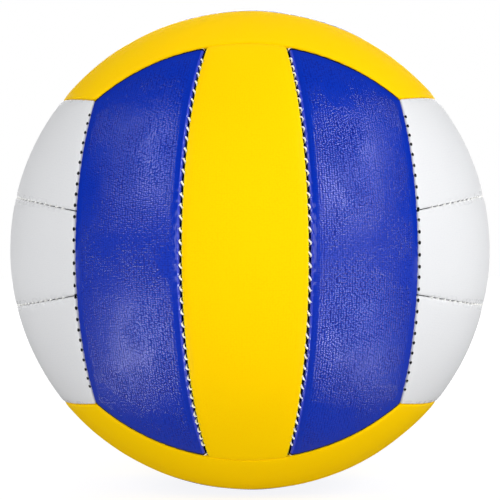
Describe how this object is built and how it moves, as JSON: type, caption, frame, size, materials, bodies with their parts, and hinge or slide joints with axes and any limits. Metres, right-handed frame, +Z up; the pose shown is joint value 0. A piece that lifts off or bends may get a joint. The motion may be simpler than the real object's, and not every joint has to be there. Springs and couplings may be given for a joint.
{
  "type": "volleyball",
  "caption": "Stitched volleyball of blue, yellow and white synthetic leather strips round foam and a rubber bladder, with a needle valve in its top face.",
  "frame": {"origin": "centre of the ball", "axes": "+Z up, out of the valve in the middle strip of the top face; the front face of three upright strips looks along -Y; +X to the right of someone who looks at the front face"},
  "size_m": [0.21, 0.21, 0.2099],
  "materials": {
    "blue_leather": "fine grained, satin",
    "yellow_leather": "fine grained, satin",
    "white_leather": "fine grained, satin",
    "backing": "foam with a cloth face",
    "thread": "twisted sewing thread",
    "bladder_rubber": "smooth, matte",
    "valve_rubber": "smooth, matte"
  },
  "bodies": {
    "root": {"panel_front_left": "blue_leather", "panel_front_middle": "yellow_leather", "panel_front_right": "blue_leather", "panel_back_left": "blue_leather", "panel_back_middle": "yellow_leather", "panel_back_right": "blue_leather", "panel_left_lower": "white_leather", "panel_left_middle": "white_leather", "panel_left_upper": "white_leather", "panel_right_lower": "white_leather", "panel_right_middle": "white_leather", "panel_right_upper": "white_leather", "panel_top_front": "yellow_leather", "panel_top_middle": "blue_leather", "panel_top_rear": "yellow_leather", "panel_bottom_front": "yellow_leather", "panel_bottom_middle": "blue_leather", "panel_bottom_rear": "yellow_leather", "foam_front_left": "backing", "foam_front_middle": "backing", "foam_front_right": "backing", "foam_back_left": "backing", "foam_back_middle": "backing", "foam_back_right": "backing", "foam_left_lower": "backing", "foam_left_middle": "backing", "foam_left_upper": "backing", "foam_right_lower": "backing", "foam_right_middle": "backing", "foam_right_upper": "backing", "foam_top_front": "backing", "foam_top_middle": "backing", "foam_top_rear": "backing", "foam_bottom_front": "backing", "foam_bottom_middle": "backing", "foam_bottom_rear": "backing", "strip_thread_front": "thread", "strip_thread_back": "thread", "strip_thread_left": "thread", "strip_thread_right": "thread", "strip_thread_top": "thread", "strip_thread_bottom": "thread", "border_thread_front": "thread", "border_thread_back": "thread", "border_thread_left": "thread", "border_thread_right": "thread", "border_thread_top": "thread", "border_thread_bottom": "thread", "bladder": "bladder_rubber", "valve_body": "valve_rubber", "valve_core": "valve_rubber"}
  },
  "joints": []
}
